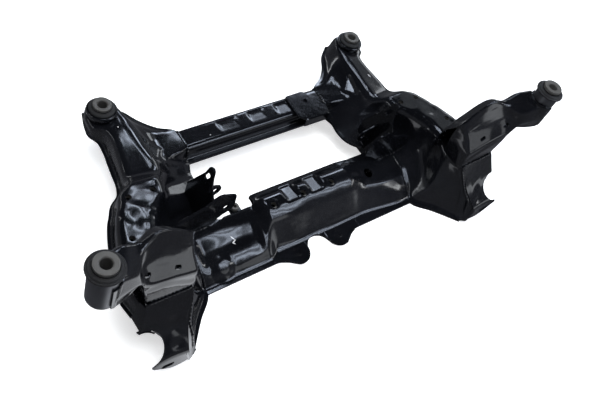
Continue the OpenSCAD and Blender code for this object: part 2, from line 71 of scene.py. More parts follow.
# Radii of the bolt holes, of the link bolt holes and of the seats round the bush cans
BOLT_R, LINK_R = 5.5, 6.25
TOWER_SEAT_R, FAR_SEAT_R = 23.15, 25.2
# Height of the pans' underside, half lengths of the crossmembers, bolt holes of the shelf and tabs
UNDERSIDE = -40.4
NEAR_HALF, FAR_HALF = 249.7, 164.7
SHELF_X, SHELF_Y = (-70, 0, 70), 95
TAB_X, TAB_Y = 51, 12
# Folds steeper than this many degrees stay sharp
SHARP_FOLD = 38.0


# Surfaces and meshes
def unit(v):
    """Vectors over their lengths."""
    return v / np.maximum(np.linalg.norm(v, axis=-1, keepdims=True), 1e-9)


def smooth(e0, e1, x):
    """0 below e0, 1 above e1, and 3t^2 - 2t^3 between."""
    t = np.clip((x - e0) / (e1 - e0), 0.0, 1.0)
    return t * t * (3 - 2 * t)


def rounded(sec, radii, arc=6, run=4):
    """Sections (stations, corners, 3): each inner corner becomes a parabola that starts and ends
    its radius away along both sides, and each straight gets run steps."""
    cols, prev = [sec[:, 0]], sec[:, 0]
    for k in range(1, sec.shape[1] - 1):
        c = sec[:, k]
        ends = []
        for other in (sec[:, k - 1], sec[:, k + 1]):
            d = other - c
            length = np.maximum(np.linalg.norm(d, axis=1, keepdims=True), 1e-6)
            ends.append(c + d / length * np.minimum(radii[k - 1], 0.45 * length))
        p0, p2 = ends
        cols += [prev + (p0 - prev) * t for t in np.linspace(0, 1, run + 1)[1:-1]]
        cols += [(1 - t) ** 2 * p0 + 2 * t * (1 - t) * c + t * t * p2 for t in np.linspace(0, 1, arc)]
        prev = p2
    cols += [prev + (sec[:, -1] - prev) * t for t in np.linspace(0, 1, run + 1)[1:]]
    return np.stack(cols, axis=1)


def along(sec, per=8):
    """Cubic Hermite curve through the stations. Tangents are central differences over the mean
    distance between stations, held to three times the smaller slope so that nothing overshoots."""
    h = np.linalg.norm(np.diff(sec, axis=0), axis=2).mean(1)[:, None, None]
    s = np.diff(sec, axis=0) / h
    m = np.concatenate([s[:1], (s[:-1] * h[1:] + s[1:] * h[:-1]) / (h[1:] + h[:-1]), s[-1:]])
    low = np.minimum(np.abs(s[:-1]), np.abs(s[1:])) * 3
    same = (s[:-1] * s[1:]) > 0
    m[1:-1] = np.where(same, np.clip(m[1:-1], -low, low), 0.35 * m[1:-1])
    rows = []
    for i in range(len(s)):
        for t in np.linspace(0, 1, per + 1)[: per + (i == len(s) - 1)]:
            a, b = sec[i], sec[i + 1]
            rows.append((2 * t**3 - 3 * t**2 + 1) * a + (t**3 - 2 * t**2 + t) * h[i] * m[i]
                        + (3 * t**2 - 2 * t**3) * b + (t**3 - t**2) * h[i] * m[i + 1])
    return np.stack(rows)


def normals(g):
    """Unit normals of a grid (rows, columns, 3), from its central differences."""
    return unit(np.cross(np.gradient(g, axis=0), np.gradient(g, axis=1)))


def grid_faces(rows, cols, start=0, flip=False):
    """Quads of a grid whose points are numbered row by row from start."""
    i = (np.arange(rows - 1)[:, None] * cols + np.arange(cols - 1)[None]).ravel() + start
    q = np.stack([i, i + cols, i + cols + 1, i + 1], 1)
    return q[:, ::-1] if flip else q


def shell_mesh(g, t, up=True):
    """Closed sheet: the grid, its copy moved t along the normals behind it, and a rim between."""
    n = normals(g)
    if (n[..., 2].mean() > 0) != up:
        n = -n
    rows, cols = g.shape[:2]
    half = rows * cols
    verts = np.concatenate([g.reshape(-1, 3), (g - t * n).reshape(-1, 3)])
    front = grid_faces(rows, cols)
    a, b, c = verts[front[0, 0]], verts[front[0, 1]], verts[front[0, 2]]
    flip = np.dot(np.cross(b - a, c - a), n[0, 0]) < 0
    front = grid_faces(rows, cols, 0, flip)
    back = grid_faces(rows, cols, half, not flip)
    rim = np.concatenate([np.arange(cols), np.arange(1, rows) * cols + cols - 1,
                          (rows - 1) * cols + np.arange(cols - 2, -1, -1), np.arange(rows - 2, 0, -1) * cols])
    nxt = np.roll(rim, -1)
    side = np.stack([rim, nxt, nxt + half, rim + half], 1)
    if not flip:
        side = side[:, ::-1]
    return verts, np.concatenate([front, back, side])


def add(name, verts, faces, mat, slot):
    """New object from whole arrays in datum millimetres, smooth shaded with sharp folds."""
    me = bpy.data.meshes.new(name)
    me.from_pydata(part(verts), [], [tuple(int(i) for i in f) for f in faces])
    bm = bmesh.new()
    bm.from_mesh(me)
    bmesh.ops.recalc_face_normals(bm, faces=bm.faces)
    bm.to_mesh(me)
    bm.free()
    me.materials.append(mat)
    me.polygons.foreach_set("use_smooth", np.ones(len(me.polygons), bool))
    me.set_sharp_from_angle(angle=math.radians(SHARP_FOLD))
    ob = bpy.data.objects.new(name, me)
    bpy.context.scene.collection.objects.link(ob)
    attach(ob, "root")
    return ob


def merge(*meshes):
    """One vertex and face list from several."""
    verts, faces, n = [], [], 0
    for v, f in meshes:
        verts.append(np.asarray(v, float))
        faces += [[int(i) + n for i in q] for q in f]
        n += len(v)
    return np.concatenate(verts), faces


def mirrored(mesh):
    """The mesh with x negated and its faces turned to match."""
    v, f = mesh
    return np.asarray(v) * [-1, 1, 1], [list(q)[::-1] for q in f]


def lathe(profile, at, sides=72):
    """Closed ring: a closed outline of (radius, height) turned about the upright line through at."""
    pr = np.asarray(profile, float)
    ang = np.linspace(0, 2 * np.pi, sides, endpoint=False)
    k = len(pr)
    r, z = pr[:, 0][None], pr[:, 1][None]
    ring = np.stack([r * np.cos(ang)[:, None], r * np.sin(ang)[:, None], z + 0 * ang[:, None]], 2)
    verts = ring.reshape(-1, 3) + at
    i, j = np.meshgrid(np.arange(sides), np.arange(k), indexing="ij")
    i2, j2 = (i + 1) % sides, (j + 1) % k
    faces = np.stack([i * k + j, i2 * k + j, i2 * k + j2, i * k + j2], -1).reshape(-1, 4)
    return verts, faces


def rod(a, b, r, sides=48):
    """Closed cylinder from a to b, used as a cutter."""
    a, b = np.asarray(a, float), np.asarray(b, float)
    d = unit(b - a)
    u = unit(np.cross(d, vec(0.31, 0.52, 0.79)))
    w = np.cross(d, u)
    ang = np.linspace(0, 2 * np.pi, sides, endpoint=False)[:, None]
    ring = r * (np.cos(ang) * u + np.sin(ang) * w)
    idx = np.arange(sides)
    faces = [[int(i), int((i + 1) % sides), int((i + 1) % sides + sides), int(i + sides)] for i in idx]
    faces += [list(range(sides))[::-1], list(range(sides, 2 * sides))]
    return np.concatenate([a + ring, b + ring]), faces


def slot_rod(a, b, w, d):
    """Closed slot-shaped prism between round ends a and b, of width w, running along d both ways."""
    a, b, d = (np.asarray(q, float) for q in (a, b, d))
    u = unit(b - a)
    n = unit(np.cross(u, unit(d)))
    t = np.linspace(-np.pi / 2, np.pi / 2, 13)[:, None]
    end = w / 2 * (np.cos(t) * u + np.sin(t) * n)
    ring = np.concatenate([b + end, a - end])
    k = len(ring)
    faces = [[i, (i + 1) % k, (i + 1) % k + k, i + k] for i in range(k)]
    faces += [list(range(k))[::-1], list(range(k, 2 * k))]
    return np.concatenate([ring - d, ring + d]), faces


def cut(mesh, *cutters):
    """The mesh with the cutters taken away by an exact boolean, back as plain lists."""
    def temp(v, f):
        me = bpy.data.meshes.new("cut")
        me.from_pydata(v / 1000.0, [], [tuple(int(i) for i in q) for q in f])
        bm = bmesh.new()
        bm.from_mesh(me)
        bmesh.ops.recalc_face_normals(bm, faces=bm.faces)
        bm.to_mesh(me)
        bm.free()
        ob = bpy.data.objects.new("cut", me)
        bpy.context.scene.collection.objects.link(ob)
        return ob
    body, tool = temp(*mesh), temp(*merge(*cutters))
    mod = body.modifiers.new("cut", "BOOLEAN")
    mod.operation, mod.solver, mod.object = "DIFFERENCE", "EXACT", tool
    got = body.evaluated_get(bpy.context.evaluated_depsgraph_get()).to_mesh()
    co = np.empty(len(got.vertices) * 3)
    got.vertices.foreach_get("co", co)
    faces = [list(q.vertices) for q in got.polygons]
    for ob in (body, tool):
        me = ob.data
        bpy.data.objects.remove(ob)
        bpy.data.meshes.remove(me)
    return co.reshape(-1, 3) * 1000.0, faces


def plate(outline, t, origin, u, v, holes=(), round_r=3.0, bevel=0.8):
    """Flat plate: a polygon with rounded corners in the plane of u and v, t thick along u x v,
    with small chamfers on its edges and round holes (u, v, radius) cut through."""
    pts = np.asarray(outline, float)
    ring = rounded(np.concatenate([pts[-1:], pts, pts[:1]])[None], [round_r] * len(pts), arc=5, run=1)[0]
    ring = ring[1:-1]
    keep = np.linalg.norm(ring - np.roll(ring, 1, axis=0), axis=1) > 1e-3
    ring = ring[keep]
    area = np.sum(ring[:, 0] * np.roll(ring[:, 1], -1) - ring[:, 1] * np.roll(ring[:, 0], -1))
    if area < 0:
        ring = ring[::-1]
    d = unit(np.roll(ring, -1, axis=0) - np.roll(ring, 1, axis=0))
    inset = np.stack([-d[:, 1], d[:, 0]], 1) * bevel
    u, v = unit(vec(*u)), unit(vec(*v))
    w = np.cross(u, v)
    levels = [(ring + inset, 0.0), (ring, bevel), (ring, t - bevel), (ring + inset, t)]
    k = len(ring)
    verts = np.concatenate([origin + q[:, :1] * u + q[:, 1:] * v + h * w for q, h in levels])
    faces = [[a * k + i, a * k + (i + 1) % k, (a + 1) * k + (i + 1) % k, (a + 1) * k + i]
             for a in range(3) for i in range(k)]
    faces += [list(range(k))[::-1], list(range(3 * k, 4 * k))]
    mesh = (verts, faces)
    if holes:
        mesh = cut(mesh, *[rod(origin + a * u + b * v - 20 * w, origin + a * u + b * v + 20 * w, r, 40)
                           for a, b, r in holes])
    return mesh


def bead(path, r=2.2, ripple=0.35, step=2.2, sides=8, seed=0):
    """Weld bead: a tube along the path whose radius rises and falls once per pool of metal.
    With no ripple it is a plain rolled edge."""
    p = np.asarray(path, float)
    s = np.r_[0, np.cumsum(np.linalg.norm(np.diff(p, axis=0), axis=1))]
    q = np.linspace(0, s[-1], max(8, int(s[-1] / step)))
    c = np.stack([np.interp(q, s, p[:, k]) for k in range(3)], 1)
    rng = np.random.default_rng(seed)
    d = unit(np.gradient(c, axis=0))
    u = unit(np.cross(d, vec(0.2, 0.3, 0.93)))
    w = np.cross(d, u)
    wave = np.sin(q * 2 * np.pi / 6.5) + 0.5 * rng.standard_normal(len(q))
    ends = np.minimum(1, np.minimum(np.arange(len(q)) + 1, np.arange(len(q), 0, -1)) / 3.0)
    rad = (r + ripple * wave) * ends
    ang = np.linspace(0, 2 * np.pi, sides, endpoint=False)
    around = np.cos(ang)[None, :, None] * u[:, None] + np.sin(ang)[None, :, None] * w[:, None]
    ring = c[:, None] + rad[:, None, None] * around
    i, j = np.meshgrid(np.arange(len(q) - 1), np.arange(sides), indexing="ij")
    faces = np.stack([i * sides + j, i * sides + (j + 1) % sides, (i + 1) * sides + (j + 1) % sides,
                      (i + 1) * sides + j], -1).reshape(-1, 4).tolist()
    faces += [list(range(sides))[::-1], list(range((len(q) - 1) * sides, len(q) * sides))]
    return ring.reshape(-1, 3), faces


# Materials
def new_material(name):
    """A new material with its node tree and surface shader."""
    m = bpy.data.materials.new(name)
    m.use_nodes = True
    return m, m.node_tree, m.node_tree.nodes["Principled BSDF"]


def node(tree, kind, **inputs):
    """A new shader node with these input values; an underscore stands for a space."""
    n = tree.nodes.new(kind)
    for k, v in inputs.items():
        n.inputs[k.replace("_", " ")].default_value = v
    return n


def noise(tree, scale, detail=2.0, rough=0.5):
    """Noise pattern on Object coordinates."""
    n = node(tree, "ShaderNodeTexNoise", Scale=scale, Detail=detail, Roughness=rough)
    tree.links.new(tree.nodes["Coords"].outputs["Object"], n.inputs["Vector"])
    return n


def coords(tree):
    """The node that the patterns read Object coordinates from."""
    c = tree.nodes.new("ShaderNodeTexCoord")
    c.name = "Coords"


def spread(tree, source, a, b, lo, hi):
    """Maps the source from a..b to lo..hi, held at the ends."""
    n = node(tree, "ShaderNodeMapRange", From_Min=a, From_Max=b, To_Min=lo, To_Max=hi)
    tree.links.new(source, n.inputs["Value"])
    return n.outputs["Result"]


def mix(tree, fac, a, b):
    """Colour between a, a colour or an output, and the colour b."""
    n = tree.nodes.new("ShaderNodeMix")
    n.data_type = "RGBA"
    factor, first, second = n.inputs[0], n.inputs[6], n.inputs[7]
    second.default_value = (*b, 1)
    if isinstance(a, tuple):
        first.default_value = (*a, 1)
    else:
        tree.links.new(a, first)
    tree.links.new(fac, factor)
    return n.outputs[2]


def bump(tree, bsdf, height, strength, distance):
    """Tilts the shader's normals by a height pattern."""
    n = node(tree, "ShaderNodeBump", Strength=strength, Distance=distance)
    tree.links.new(height, n.inputs["Height"])
    tree.links.new(n.outputs["Normal"], bsdf.inputs["Normal"])


# Pale scratches: centre in the part's frame, turn about z in radians, half length and half width, in metres
MARKS = [
    ((-0.1668, -0.0826, 0.039), -0.91, 0.0060, 0.0009),
    ((-0.1666, -0.0885, 0.037), -2.81, 0.0052, 0.0011),
    ((-0.1679, -0.0917, 0.035), -0.72, 0.0036, 0.0009),
    ((0.2826, 0.1122, 0.111), -1.31, 0.0049, 0.0011),
    ((-0.2774, 0.1646, 0.113), -1.07, 0.0018, 0.0010),
]
MARK_DEPTH = 0.012


def paint_material():
    """Gloss black paint: orange peel, faint dull patches, dust, a few pale nicks, and the scratches of
    MARKS, each the inside of a long flat ellipsoid."""
    m, t, b = new_material("gloss_black_paint")
    coords(t)
    dull = noise(t, 9.0, 4.0, 0.6)
    fine = noise(t, 160.0, 3.0, 0.6)
    peel = noise(t, 420.0, 1.0)
    wave = noise(t, 26.0, 2.0, 0.4)
    nick = node(t, "ShaderNodeTexVoronoi", Scale=46.0, Randomness=1.0)
    t.links.new(t.nodes["Coords"].outputs["Object"], nick.inputs["Vector"])
    dot = spread(t, nick.outputs["Distance"], 0.035, 0.06, 1.0, 0.0)
    split = t.nodes.new("ShaderNodeSeparateColor")
    t.links.new(nick.outputs["Color"], split.inputs["Color"])
    pick = spread(t, split.outputs["Red"], 0.955, 0.96, 0.0, 1.0)
    both = t.nodes.new("ShaderNodeMath")
    both.operation = "MULTIPLY"
    t.links.new(dot, both.inputs[0])
    t.links.new(pick, both.inputs[1])
    pale = both.outputs[0]
    for at, turn, half, thin in MARKS:
        local = node(t, "ShaderNodeMapping", Location=at, Rotation=(0, 0, turn),
                     Scale=(half, thin, MARK_DEPTH))
        local.vector_type = "TEXTURE"
        t.links.new(t.nodes["Coords"].outputs["Object"], local.inputs["Vector"])
        size = t.nodes.new("ShaderNodeVectorMath")
        size.operation = "LENGTH"
        t.links.new(local.outputs[0], size.inputs[0])
        more = t.nodes.new("ShaderNodeMath")
        more.operation = "MAXIMUM"
        t.links.new(pale, more.inputs[0])
        t.links.new(spread(t, size.outputs["Value"], 0.7, 1.0, 1.0, 0.0), more.inputs[1])
        pale = more.outputs[0]
    shade = mix(t, spread(t, dull.outputs["Fac"], 0.35, 0.7, 0.0, 1.0), (0.0022, 0.0024, 0.0032),
                (0.0045, 0.0049, 0.0064))
    t.links.new(mix(t, pale, shade, (0.62, 0.62, 0.62)), b.inputs["Base Color"])
    rough = t.nodes.new("ShaderNodeMath")
    rough.operation = "ADD"
    t.links.new(spread(t, dull.outputs["Fac"], 0.3, 0.75, 0.085, 0.16), rough.inputs[0])
    t.links.new(spread(t, fine.outputs["Fac"], 0.45, 0.8, 0.0, 0.06), rough.inputs[1])
    t.links.new(rough.outputs[0], b.inputs["Roughness"])
    total = t.nodes.new("ShaderNodeMath")
    total.operation = "MULTIPLY_ADD"
    t.links.new(peel.outputs["Fac"], total.inputs[0])
    total.inputs[1].default_value = 0.03
    t.links.new(wave.outputs["Fac"], total.inputs[2])
    bump(t, b, total.outputs[0], 0.5, 0.0012)
    b.inputs["Specular IOR Level"].default_value = 0.5
    b.inputs["Coat Weight"].default_value = 0.3
    b.inputs["Coat Roughness"].default_value = 0.06
    return m


def rubber_material():
    """Matt black rubber, a little mottled, with a fine grain."""
    m, t, b = new_material("bush_rubber")
    coords(t)
    tone, grain = noise(t, 30.0, 4.0), noise(t, 900.0, 2.0)
    t.links.new(mix(t, tone.outputs["Fac"], (0.006, 0.006, 0.0065), (0.015, 0.015, 0.0155)),
                b.inputs["Base Color"])
    t.links.new(spread(t, tone.outputs["Fac"], 0.3, 0.7, 0.5, 0.68), b.inputs["Roughness"])
    bump(t, b, grain.outputs["Fac"], 0.25, 0.0004)
    return m


def sleeve_material():
    """Grey plated steel, slightly blotchy, with a fine grain."""
    m, t, b = new_material("plated_sleeve")
    coords(t)
    tone, grain = noise(t, 60.0, 5.0, 0.65), noise(t, 1100.0, 2.0)
    t.links.new(mix(t, tone.outputs["Fac"], (0.055, 0.054, 0.051), (0.10, 0.098, 0.093)),
                b.inputs["Base Color"])
    t.links.new(spread(t, tone.outputs["Fac"], 0.3, 0.7, 0.42, 0.58), b.inputs["Roughness"])
    b.inputs["Metallic"].default_value = 0.3
    bump(t, b, grain.outputs["Fac"], 0.2, 0.0003)
    return m


def can_material():
    """Satin steel with a fine grain."""
    m, t, b = new_material("satin_can")
    coords(t)
    tone, grain = noise(t, 40.0, 4.0), noise(t, 700.0, 2.0)
    t.links.new(mix(t, tone.outputs["Fac"], (0.10, 0.102, 0.108), (0.15, 0.153, 0.162)),
                b.inputs["Base Color"])
    t.links.new(spread(t, tone.outputs["Fac"], 0.3, 0.7, 0.33, 0.45), b.inputs["Roughness"])
    b.inputs["Metallic"].default_value = 0.95
    bump(t, b, grain.outputs["Fac"], 0.15, 0.0003)
    return m


def shaded_paint_copy(gloss):
    """The same paint with weaker reflections, a painted shade copy: the link brackets look as dark as the
    shade they sit in.
    """
    m = gloss.copy()
    m.name = "bracket_paint_painted_shade"
    shader = m.node_tree.nodes["Principled BSDF"]
    for name in ("Specular IOR Level", "Coat Weight"):
        shader.inputs[name].default_value = 0.12
    return m


PAINT, RUBBER, SLEEVE, CAN = paint_material(), rubber_material(), sleeve_material(), can_material()
# Painted shade: a duller copy of the gloss paint that darkens the link brackets in place of real shade.
SHADED_BRACKET_PAINT = shaded_paint_copy(PAINT)


def both_sides(name, mesh, nodes, mat=PAINT, slot="black_paint"):
    """Adds the right piece and its mirror image, in place of the CAD nodes on each side."""
    for side, m in (("right", mesh), ("left", mirrored(mesh))):
        ob = add(name + "_" + side, *m, mat, slot)
        if nodes:
            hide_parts(*[n + "_" + side for n in nodes])


# Side members
# Section where side and near crossmember meet, and heights of the arm's ridge and of the pad
JOINT = [vec(250, y, z) for y, z in ((8, -37), (18, -37), (40, -16), (72, 4), (110, 10), (126, 8), (136, 6))]
RIDGE, PAD = 73.0, 86.0


def row(base, *offsets):
    """Points at these offsets from base."""
    return [base + vec(*o) for o in offsets]


# Sections of the right side member from the tower's foot to the far head, outer edge to inner edge
SIDE = np.array([
    row(T, (-54, -5, 50), (-60, -4, 52), (-66, -2, 80), (-157, -3, 72), (-141, -40, 20), (-145, -64, -34),
        (-144, -76, -37)),
    row(T, (-51, 24, 48), (-57, 24, 50), (-64, 24, 84), (-160, 20, 78), (-168, -14, 16), (-176, -22, -34),
        (-184, -30, -37)),
    row(T, (-52, 46, 47), (-58, 46, 49), (-66, 46, PAD), (-160, 42, 82), (-186, 12, 6))
    + [JOINT[0] + vec(6, 8, 1), JOINT[0]],
    row(T, (-55, 60, 47), (-61, 60, 49), (-69, 60, PAD), (-158, 58, PAD), (-184, 34, 8))
    + [JOINT[1] + vec(8, 6, 6), JOINT[1]],
    row(P, (75, -98, -40), (69, -99, -38), (64, -100, 0), (-17, -98, 0))
    + [JOINT[2] + vec(36, 16, 30), JOINT[2] + vec(10, 4, 5), JOINT[2]],
    row(P, (67, -81, -40), (61, -83, -38), (56, -84, 0), (-15, -82, 0))
    + [JOINT[3] + vec(38, 8, 22), JOINT[3] + vec(12, 2, 4), JOINT[3]],
    row(P, (60, -59, -41), (54, -62, -39), (49, -64, 0), (-18, -68, 0))
    + [JOINT[4] + vec(42, -4, 20), JOINT[4] + vec(10, 0, 2), JOINT[4]],
    row(P, (52, -38, -42), (46, -41, -40), (41, -44, 0), (-28, -48, 0))
    + [JOINT[5] + vec(38, 0, 24), JOINT[5] + vec(9, 0, 3), JOINT[5]],
    row(P, (42, -16, -42), (36, -20, -40), (31, -24, 0), (-45, -25, 0))
    + [JOINT[6] + vec(24, 12, 30), JOINT[6] + vec(6, 8, 3), JOINT[6]],
    row(P, (30, 3, -43), (24, -1, -41), (19, -4, 0), (-62, -11, 0), (-71, -10, -48))
    + [vec(206, 158, 8), vec(196, 152, 5)],
    row(P, (18, 21, -44), (13, 17, -42), (9, 13, 0), (-65, 4, 0), (-77, 6, -46))
    + [vec(186, 182, 8), vec(176, 178, 4)],
    row(P, (1, 34, -46), (-4, 29, -44), (-10, 25, 0), (-67, 19, 0), (-81, 24, -44))
    + [vec(182, 205, 8), vec(172, 205, 4)],
    row(P, (-8, 49, -52), (-13, 43, -50), (-18, 37, -12), (-77, 34, -12), (-93, 38, -40))
    + [vec(182, 220, 11), vec(172, 222, 7)],
    row(A, (28, -119, 28), (23, -124, 30), (21, -133, RIDGE - 10), (-39, -139, RIDGE - 2), (-58, -135, 46))
    + [vec(176, 240, 14), vec(165, 243, 10)],
    row(A, (24, -96, 25), (18, -100, 27), (17, -111, RIDGE - 7), (-39, -121, RIDGE - 1), (-60, -121, 48))
    + [vec(178, 249, 20), vec(165, 253, 12)],
    row(A, (20, -72, 24), (14, -75, 26), (12, -85, RIDGE - 4), (-38, -99, RIDGE), (-62, -105, 45))
    + [vec(178, 257, 40), vec(165, 261, 38)],
    row(A, (17, -50, 26), (11, -51, 28), (8, -57, RIDGE - 1), (-36, -65, RIDGE + 1), (-65, -73, 45))
    + [vec(176, 300, 39), vec(165, 301, 38)],
    row(A, (19, -32, 34), (14, -33, 36), (11, -36, RIDGE - 1), (-34, -39, RIDGE + 2), (-56, -45, 54),
        (-87, -45, 40), (-94, -39, 38)),
    row(A, (31, -15, 42), (28, -16, 44), (29, -19, RIDGE - 5), (-32, -15, RIDGE + 4), (-44, -17, 60),
        (-61, -16, 41), (-68, -11, 39)),
    row(A, (29, 5, 44), (27, 4, 46), (30, 1, RIDGE - 3), (-30, 3, RIDGE + 4), (-36, 5, 62), (-46, 9, 42),
        (-53, 13, 40)),
    row(A, (20, 34, 44), (17, 31, 46), (17, 27, RIDGE - 2), (-18, 27, RIDGE + 3), (-21, 29, 62),
        (-24, 31, 44), (-27, 36, 42)),
])
# Bolt holes of the pad, and the corners of the arm's triangular facet
PAD_HOLES = [(289, 174), (333, 174), (363, 101)]
FACET = np.array([(245.8, 294.2), (215.7, 269.9), (237.3, 243.7)])


def dent(g, x, y, r, depth):
    """Lowers a grid by a round dent with a soft edge, deepest at (x, y)."""
    d = np.hypot(g[..., 0] - x, g[..., 1] - y)
    g[..., 2] -= depth * (1 - smooth(0.35 * r, r, d))


def ripples(x, y, shortest, longest, slope, seed, count=7):
    """Sum of sine waves of seeded direction, length and phase, each with the same greatest slope."""
    rng = np.random.default_rng(seed)
    h = 0 * x
    for _ in range(count):
        a, k = rng.uniform(0, np.pi), 2 * np.pi / rng.uniform(shortest, longest)
        h = h + slope / k * np.sin(k * (x * np.cos(a) + y * np.sin(a)) + rng.uniform(0, 2 * np.pi))
    return h / math.sqrt(count / 2)


def side_members():
    """Upper shells: the sections of SIDE with rounded folds, carried along by a Hermite curve, averaged
    with their neighbours at the step behind the pad, waved on pad and arm, set on a tilted plane inside
    the facet, and dented. Lower pans: the same edges over a floor line of their own."""
    g = along(rounded(SIDE, [4, 12, 15, 15, 7], arc=8, run=10), per=12)
    x, y, z = g[..., 0], g[..., 1], g[..., 2]
    for _ in range(14):
        w = (smooth(186, 198, y[1:-1]) * (1 - smooth(236, 250, y[1:-1])) * (x[1:-1] > 235) * 0.5)[..., None]
        g[1:-1] = (1 - w) * g[1:-1] + w * 0.5 * (g[:-2] + g[2:])
    pad = smooth(82, 85.5, z) * smooth(50, 66, y) * (1 - smooth(186, 200, y))
    g[..., 2] += pad * ripples(x, y, 26, 62, 0.055, 21)
    arm = smooth(58, 66, z) * smooth(226, 240, y) * (1 - smooth(300, 330, y))
    g[..., 2] += arm * ripples(x, y, 50, 110, 0.022, 22)
    inside = 1.0
    for a, b in zip(FACET, np.roll(FACET, -1, axis=0)):
        d = unit(b - a)
        inside = inside * smooth(-1.5, 1.5, (y - a[1]) * d[0] - (x - a[0]) * d[1])
    g[..., 2] += inside * (47.5 + 0.316 * (x - 217) + 0.067 * (y - 270.7) - z)
    top = g[..., 2] > 80
    for at_x, at_y, r, depth in ((362, 149, 9, 1.0), (301, 143, 8, 0.9), (309, 128, 8, 0.9),
                                 (340, 138, 22, 0.8)):
        low = g.copy()
        dent(low, at_x, at_y, r, depth)
        g = np.where(top[..., None], low, g)
    tools = [rod((x, y, 50), (x, y, 120), BOLT_R) for x, y in PAD_HOLES]
    tools.append(rod((A[0], A[1], -40), (A[0], A[1], 130), FAR_SEAT_R, 64))
    both_sides("side_shell", cut(shell_mesh(g, SHEET), *tools), ["side_upper"])
    floor = [UNDERSIDE] * 7 + [-30, -24, -18, -14, -10, -6, -2, 2, 4, 6, 6, 6, 6, 6]
    down = vec(0, 0, 3.4)
    sec = []
    for i, (u, z) in enumerate(zip(SIDE, floor)):
        mid = 6.0 if i == 0 else 0.0
        flat = 3 <= i <= 6
        sec.append([u[0] - down, u[1] - down,
                    vec(u[1][0] - 24, u[1][1] - (6 if i < 2 else 0), mid if i < 4 else z),
                    vec(u[4][0] + (14 if i < 4 else 0), u[5][1] + (4 if i < 2 else 0), z),
                    vec(u[5][0], u[5][1], UNDERSIDE) if flat else u[5] - down,
                    vec(u[6][0], u[6][1], UNDERSIDE) if flat else u[6] - down])
    g = along(rounded(np.array(sec), [5, 12, 12, 6], arc=5, run=3), per=5)
    g[..., 2] = np.maximum(g[..., 2], UNDERSIDE)
    both_sides("side_pan", cut(shell_mesh(g, SHEET), tools[-1]), ["side_lower"])


# Crossmembers
def near_section(x, c):
    """Corners across the near crossmember at x, moved in proportion to c: 0 in a trough, 1 on the shelf."""
    return np.array([
        [x, 8, -37], [x, 18 + 10 * c, -37], [x, 40 + 7 * c, -16 - 1 * c], [x, 72 + 11 * c, 4 + 19 * c],
        [x, 110 + 3 * c, 10 + 13 * c], [x, 126, 8 + 6 * c], [x, 136, 6 + 4 * c]])


